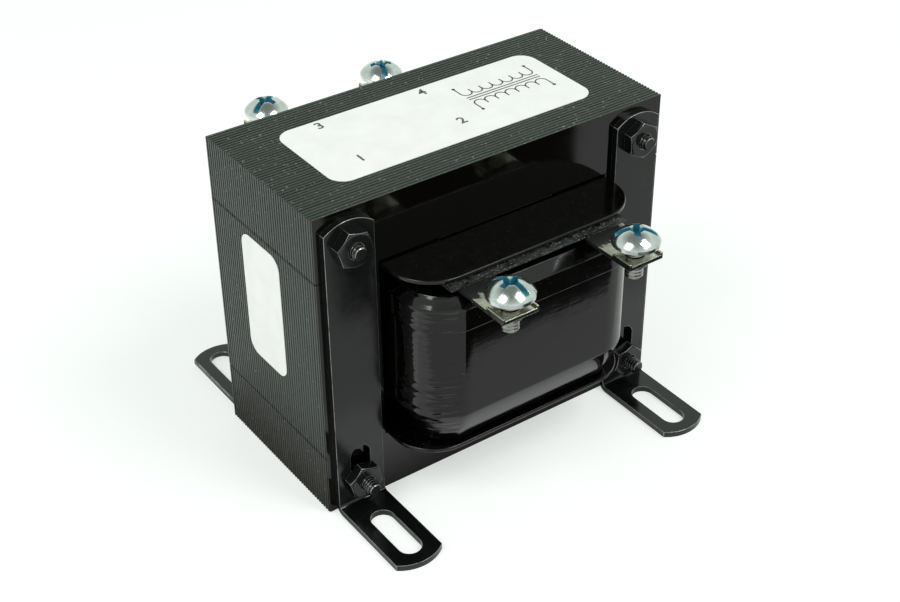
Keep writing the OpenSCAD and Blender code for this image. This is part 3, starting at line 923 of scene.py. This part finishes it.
class TRANSFORMER_OT_boards(MakeOperator, bpy.types.Operator):
    """Makes the terminal boards with their crust of varnish."""

    bl_idname = "transformer.boards"
    bl_label = "Terminal boards"

    def execute(self, context):
        looks = context.scene.transformer.terminals
        crusted = varnished_board("crusted_board", looks.board_colour, 1.0)
        for name in BOARDS:
            low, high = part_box(name)
            size = high - low
            bm = bmesh.new()
            bmesh.ops.create_cube(
                bm, size=1, matrix=Matrix.Translation((low + high) / 2) @ Matrix.Diagonal((*size, 1))
            )
            for axis, cuts in enumerate(BOARD_CUTS):
                along = [
                    e for e in bm.edges
                    if abs((e.verts[0].co - e.verts[1].co)[axis]) > 0.5 * size[axis]
                ]
                bmesh.ops.subdivide_edges(bm, edges=along, cuts=cuts, use_grid_fill=True)
            bmesh.ops.recalc_face_normals(bm, faces=bm.faces)
            bm.normal_update()
            for v in bm.verts:
                lump = 0.5 + 0.5 * noise.fractal(v.co * 420, 0.8, 2.1, 4)
                ragged = 0.5 + 0.5 * noise.noise(v.co * 160)
                v.co -= v.normal * looks.crust * clamp(0.6 * lump + 0.4 * ragged)
            piece(bm, f"{name}_crusted", [crusted], [name], 60.0)
        return {"FINISHED"}


class TRANSFORMER_OT_tabs(MakeOperator, bpy.types.Operator):
    """Makes the terminal tabs with soft edges."""

    bl_idname = "transformer.tabs"
    bl_label = "Terminal tabs"

    def execute(self, context):
        looks = context.scene.transformer.terminals
        plate = zinc(looks)
        for name in TABS:
            soft_copy(name, looks.tab_edge, f"{name}_plated", plate)
        return {"FINISHED"}


class TRANSFORMER_OT_screws(MakeOperator, bpy.types.Operator):
    """Makes the terminal screws with their recesses and threads."""

    bl_idname = "transformer.screws"
    bl_label = "Terminal screws"

    def execute(self, context):
        looks = context.scene.transformer.terminals
        low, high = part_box("terminal_screws")
        under_head = high.z - looks.head_height
        thread_top = under_head - THREAD_START
        bm = cad_copy("terminal_screws")
        cut_off(bm, (0, 0, under_head - STUB_END), (0, 0, -1))
        soften(bm, looks.head_edge)
        ball = (looks.head_radius**2 + looks.head_dome**2) / (2 * looks.head_dome)
        places = []
        for name in TABS:
            tab_low, tab_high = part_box(name)
            y = math.copysign(high.y - looks.head_radius, tab_low.y + tab_high.y)
            places.append(Vector(((tab_low.x + tab_high.x) / 2, y, high.z - ball)))
        for face in bm.faces:
            spot = face.calc_center_median()
            centre = min(places, key=lambda place: (place - spot).xy.length)
            within = (spot - centre).xy.length < RECESS_REACH * looks.head_radius
            sunk = (spot - centre).length < ball - RECESS_DEPTH
            if within and sunk and spot.z > under_head + RECESS_RISE:
                face.material_index = 1
        for centre in places:
            start = Matrix.Translation((centre.x, centre.y, thread_top))
            place = start @ Matrix.Rotation(math.pi, 4, "X")
            rise = thread_top - low.z
            threaded_rod(bm, looks.screw_radius, looks.screw_pitch, rise, SCREW_TIP, place)
        bright = bright_zinc("screw_zinc", looks.screw_colour, 0.16)
        shank = bright_zinc("shank_zinc", looks.shank_colour, 0.2)
        for face in bm.faces:
            if face.calc_center_median().z < under_head - TONE_START:
                face.material_index = 2
        tinted = bright_zinc("recess_zinc", looks.recess_colour, 0.3, 0.4)
        piece(bm, "screws_threaded", [bright, tinted, shank], ["terminal_screws"])
        return {"FINISHED"}


class TRANSFORMER_OT_leads(MakeOperator, bpy.types.Operator):
    """Dresses the lead wires."""

    bl_idname = "transformer.leads"
    bl_label = "Lead wires"

    def execute(self, context):
        finish = Finish("lead_copper", Metallic=1.0)
        film = finish.noise(500, 4.0)
        tone = context.scene.transformer.coil.copper_colour
        dress(
            "lead_wires",
            finish.shade(
                Base_Color=finish.mix(film, rgba(tone, 0.4), rgba(tone)),
                Roughness=finish.spread(film, 0.2, 0.4),
            ),
        )
        return {"FINISHED"}


class TRANSFORMER_OT_straps(MakeOperator, bpy.types.Operator):
    """Makes the mounting straps with soft edges, worn and given painted highlight lines."""

    bl_idname = "transformer.straps"
    bl_label = "Mounting straps"

    def execute(self, context):
        looks = context.scene.transformer.fittings
        enamel = enamel_of(looks)
        for name in STRAPS:
            soft_copy(name, looks.strap_edge, f"{name}_enamelled", enamel)
        return {"FINISHED"}


def enamel_of(looks):
    """The one enamel that straps, bolts and nuts share."""
    return bpy.data.materials.get("black_enamel") or black_enamel(looks)


def bolt_axes(name):
    """X and Z of a node's two bolts, which run through the middle of the straps."""
    low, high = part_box(name)
    straps = [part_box(f"strap_front_{hand}") for hand in HANDS]
    return [((left.x + right.x) / 2, (low.z + high.z) / 2) for left, right in straps]


class TRANSFORMER_OT_bolts(MakeOperator, bpy.types.Operator):
    """Makes the core bolts, with threads past their nuts, and the nuts."""

    bl_idname = "transformer.bolts"
    bl_label = "Core bolts and nuts"

    def execute(self, context):
        looks = context.scene.transformer.fittings
        enamel = enamel_of(looks)
        nut_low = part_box("core_nuts")[0]
        mouth = nut_low.y + looks.into_nut
        forward = Matrix.Rotation(math.pi / 2, 4, "X")
        for name in BOLTS:
            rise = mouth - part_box(name)[0].y
            bm = cad_copy(name)
            cut_off(bm, (0, mouth + BOLT_GAP, 0), (0, -1, 0))
            soften(bm, looks.nut_edge)
            for x, z in bolt_axes(name):
                place = Matrix.Translation((x, mouth, z)) @ forward
                threaded_rod(bm, looks.bolt_radius, looks.bolt_pitch, rise, BOLT_TIP, place)
            piece(bm, f"{name}_threaded", [enamel], [name])
        bm = cad_copy("core_nuts")
        axes = [axis for name in BOLTS for axis in bolt_axes(name)]
        rims = []
        for edge in bm.edges:
            middle = (edge.verts[0].co + edge.verts[1].co) / 2
            reach = min(math.hypot(middle.x - x, middle.z - z) for x, z in axes)
            turned = edge.calc_face_angle(0) > math.radians(BORE_TURN)
            if turned and reach < BORE_REACH * looks.bolt_radius:
                rims.append(edge)
        bevel(bm, rims, looks.bore_edge, 1)
        soften(bm, looks.nut_edge)
        piece(bm, "nuts_enamelled", [enamel], ["core_nuts"])
        return {"FINISHED"}


class TRANSFORMER_OT_labels(MakeOperator, bpy.types.Operator):
    """Dresses the labels, and prints plain numbers and a winding sign on the top one."""

    bl_idname = "transformer.labels"
    bl_label = "Labels"

    def execute(self, context):
        looks = context.scene.transformer.labels
        film = label_film("label_film", looks.label_colour, 0.25)
        ink = label_film("label_ink", looks.ink_colour, 0.5)
        for name in ("top_label", "side_label"):
            dress(name, film)
        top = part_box("top_label")[1].z + looks.ink_rise
        for digit, (x, y) in NUMBER_SPOTS.items():
            number(digit, Vector((x * MM, y * MM, top)), looks, ink)
        piece(winding_sign(looks, top), "winding_sign", [ink])
        return {"FINISHED"}


def number(digit, place, looks, ink):
    """Prints one plain number flat on the label, centred on its place."""
    text = bpy.data.curves.new(f"number_{digit}", "FONT")
    text.body = digit
    text.size = looks.digit_height * FONT_SIZE
    text.align_x = "CENTER"
    text.align_y = "CENTER"
    text.resolution_u = 6
    text.offset = FONT_WEIGHT
    shown = bpy.data.objects.new("number_text", text)
    bpy.context.scene.collection.objects.link(shown)
    bpy.context.view_layer.update()
    flat = bpy.data.meshes.new_from_object(shown.evaluated_get(bpy.context.evaluated_depsgraph_get()))
    bpy.data.objects.remove(shown)
    bm = bmesh.new()
    bm.from_mesh(flat)
    bpy.data.meshes.remove(flat)
    bmesh.ops.translate(bm, verts=bm.verts, vec=place)
    piece(bm, f"number_{digit}", [ink])


def winding_sign(looks, top):
    """Two rows of loops on either side of two bars, as flat ribbons."""
    bm = bmesh.new()
    right = SIGN_LEFT + 2 * SIGN_LOOPS * LOOP_RADIUS
    half = looks.stroke / 2
    for row, sign in WINDING_ROWS:
        for i in range(SIGN_LOOPS):
            centre = Vector((SIGN_LEFT + (2 * i + 1) * LOOP_RADIUS, row, top))
            ribbon_arc(bm, centre, LOOP_RADIUS, -sign, looks.stroke)
        for i in range(SIGN_LOOPS + 1):
            rise = END_STEM if i in (0, SIGN_LOOPS) else CUSP_STEM
            x = SIGN_LEFT + 2 * i * LOOP_RADIUS
            ribbon(bm, x - half, x + half, row, row + sign * rise, top)
        for x in (SIGN_LEFT, right):
            dot = Matrix.Translation((x, row + sign * END_STEM, top))
            bmesh.ops.create_circle(bm, cap_ends=True, radius=DOT_RADIUS, segments=16, matrix=dot)
    for y in BAR_ROWS:
        ribbon(bm, SIGN_LEFT, right, y - half, y + half, top)
    bmesh.ops.recalc_face_normals(bm, faces=bm.faces)
    for face in bm.faces:
        if face.normal.z < 0:
            face.normal_flip()
    return bm


def sheet(bm, wide, high, place):
    """Adds a flat rectangle, centred on its place."""
    matrix = place @ Matrix.Diagonal((wide, high, 1, 1))
    bmesh.ops.create_grid(bm, x_segments=1, y_segments=1, size=0.5, matrix=matrix)


def ribbon(bm, x0, x1, y0, y1, z):
    """Adds a flat rectangle between two corners."""
    sheet(bm, abs(x1 - x0), abs(y1 - y0), Matrix.Translation(((x0 + x1) / 2, (y0 + y1) / 2, z)))


def ribbon_arc(bm, centre, radius, sign, width):
    """Adds half a ring, over its centre or, with a negative sign, under it."""
    inner = bm.verts.new(centre + Vector((radius - width / 2, 0, 0)))
    outer = bm.verts.new(centre + Vector((radius + width / 2, 0, 0)))
    edge = bm.edges.new((inner, outer))
    sweep(bm, [inner, outer, edge], centre, 0, sign * math.pi, 14)


class TRANSFORMER_OT_stage(MakeOperator, bpy.types.Operator):
    """Sets the floor, the light and the camera."""

    bl_idname = "transformer.stage"
    bl_label = "Stage"

    def execute(self, context):
        looks = context.scene.transformer.stage
        bm = bmesh.new()
        bmesh.ops.create_grid(bm, x_segments=8, y_segments=8, size=FLOOR_REACH)
        paint = Finish("floor_paint", Roughness=0.9, Emission_Color=(0.97, 1, 0.98, 1))
        paint.shader.inputs["Specular IOR Level"].default_value = 0.1
        paint.shader.inputs["Emission Strength"].default_value = looks.floor_glow
        floor = mesh_object(bm, "floor", [paint.shade(Base_Color=rgba(looks.floor_colour))])
        painted_reflection_card(looks)
        shade(looks)
        softbox(context, "key", KEY_PLACE, looks.softbox_size, looks.key)
        softbox(context, "fill", FILL_PLACE, looks.softbox_size, looks.fill)
        surround(context, looks.surround)
        camera(context, looks)
        context.scene.view_settings.view_transform = "Standard"
        return {"FINISHED"}


def painted_reflection_card(looks):
    """Dark card in front that shows only in the gloss of the front faces: a painted dark reflection."""
    cloth = Finish("painted_reflection_cloth", Roughness=1.0).shade(Base_Color=(0.01, 0.01, 0.01, 1))
    middle = Matrix.Translation((looks.flag_middle, -looks.flag_distance, looks.flag_height / 2))
    upright = middle @ Matrix.Rotation(math.pi / 2, 4, "X")
    staged_card("painted_reflection_card", looks.flag_length, looks.flag_height, cloth, upright)


def shade(looks):
    """Sheet over the floor that dims it, near the part and in front, only in its gloss."""
    finish = Finish("shade_cloth", Roughness=1.0, Base_Color=(0, 0, 0, 1))
    place = finish.axes(finish.place)
    gaps = []
    for axis, half in (("X", CAD_HIGH.x), ("Y", CORE_FACE)):
        away = finish.sum("SUBTRACT", finish.size(place[axis]), half)
        gaps.append(finish.sum("MAXIMUM", away, 0.0))
    gap = finish.sum("MAXIMUM", *gaps)
    near = finish.levels(gap, 0.0, looks.shade_reach, looks.shade_near, 0.0)
    start = -looks.shade_start
    end = start - SHADE_RISE
    front = finish.levels(place["Y"], start, end, SHADE_BY_PART, looks.shade_front)
    in_front = finish.sum("LESS_THAN", place["Y"], -CORE_FACE)
    front = finish.sum("MULTIPLY", front, in_front)
    cloth = finish.shade(Alpha=finish.sum("MAXIMUM", near, front))
    staged_card("shade", SHADE_SIZE, SHADE_SIZE, cloth, Matrix.Translation((0, 0, SHADE_LIFT)))


def staged_card(name, wide, high, material, place):
    """Flat card that shows in gloss alone."""
    bm = bmesh.new()
    sheet(bm, wide, high, place)
    card = mesh_object(bm, name, [material])
    card.visible_camera = False
    card.visible_diffuse = False
    card.visible_shadow = False


def softbox(context, name, place, size, power):
    """Square softbox that faces the part."""
    lamp = bpy.data.lights.new(name, "AREA")
    lamp.size = size
    lamp.energy = power
    obj = bpy.data.objects.new(name, lamp)
    obj.location = place
    obj.rotation_euler = (AIM - Vector(place)).to_track_quat("-Z", "Y").to_euler()
    context.scene.collection.objects.link(obj)


def surround(context, strength):
    """White surround, a little green, and darker overhead."""
    world = bpy.data.worlds.new("surround")
    world.use_nodes = True
    tree = world.node_tree
    background = tree.nodes["Background"]
    background.inputs["Color"].default_value = SURROUND_TINT
    direction = tree.nodes.new("ShaderNodeTexCoord").outputs["Generated"]
    parts = tree.nodes.new("ShaderNodeSeparateXYZ")
    height = tree.nodes.new("ShaderNodeMapRange")
    tree.links.new(direction, parts.inputs[0])
    tree.links.new(parts.outputs["Z"], height.inputs[0])
    for socket, value in enumerate((*OVERHEAD, strength, OVERHEAD_SHARE * strength), start=1):
        height.inputs[socket].default_value = value
    tree.links.new(height.outputs[0], background.inputs["Strength"])
    context.scene.world = world


def camera(context, looks):
    """Camera at the part's three-quarter view from above."""
    lens = bpy.data.cameras.new("camera")
    lens.sensor_width = 36
    lens.lens = looks.lens
    obj = bpy.data.objects.new("camera", lens)
    azimuth, elevation = looks.camera_azimuth, looks.camera_elevation
    flat = math.cos(elevation)
    towards = Vector((math.sin(azimuth) * flat, math.cos(azimuth) * flat, -math.sin(elevation)))
    turned = towards.to_track_quat("-Z", "Y").to_matrix().to_4x4()
    roll = Matrix.Rotation(looks.camera_roll, 4, "Z")
    obj.matrix_world = Matrix.Translation(looks.camera_place) @ turned @ roll
    context.scene.collection.objects.link(obj)
    context.scene.camera = obj


OPERATORS = (
    TRANSFORMER_OT_stage,
    TRANSFORMER_OT_core,
    TRANSFORMER_OT_coil,
    TRANSFORMER_OT_former,
    TRANSFORMER_OT_boards,
    TRANSFORMER_OT_tabs,
    TRANSFORMER_OT_screws,
    TRANSFORMER_OT_leads,
    TRANSFORMER_OT_straps,
    TRANSFORMER_OT_bolts,
    TRANSFORMER_OT_labels,
)


class TRANSFORMER_PT_panel(bpy.types.Panel):
    """Lists the pieces of the transformer."""

    bl_idname = "TRANSFORMER_PT_panel"
    bl_label = "Transformer"
    bl_space_type = "VIEW_3D"
    bl_region_type = "UI"
    bl_category = "Transformer"

    def draw(self, context):
        """Draws one button for each operator."""
        for operator in OPERATORS:
            self.layout.operator(operator.bl_idname)


CLASSES = (*GROUPS, TransformerLooks, *OPERATORS, TRANSFORMER_PT_panel)


def register():
    """Registers the classes and the scene's settings."""
    for cls in CLASSES:
        bpy.utils.register_class(cls)
    bpy.types.Scene.transformer = PointerProperty(type=TransformerLooks)


def unregister():
    """Takes the classes and the settings away again."""
    del bpy.types.Scene.transformer
    for cls in reversed(CLASSES):
        bpy.utils.unregister_class(cls)


def main():
    """Builds the stage and the pieces."""
    register()
    for operator in OPERATORS:
        group, name = operator.bl_idname.split(".")
        getattr(getattr(bpy.ops, group), name)()


if __name__ == "__main__":
    main()
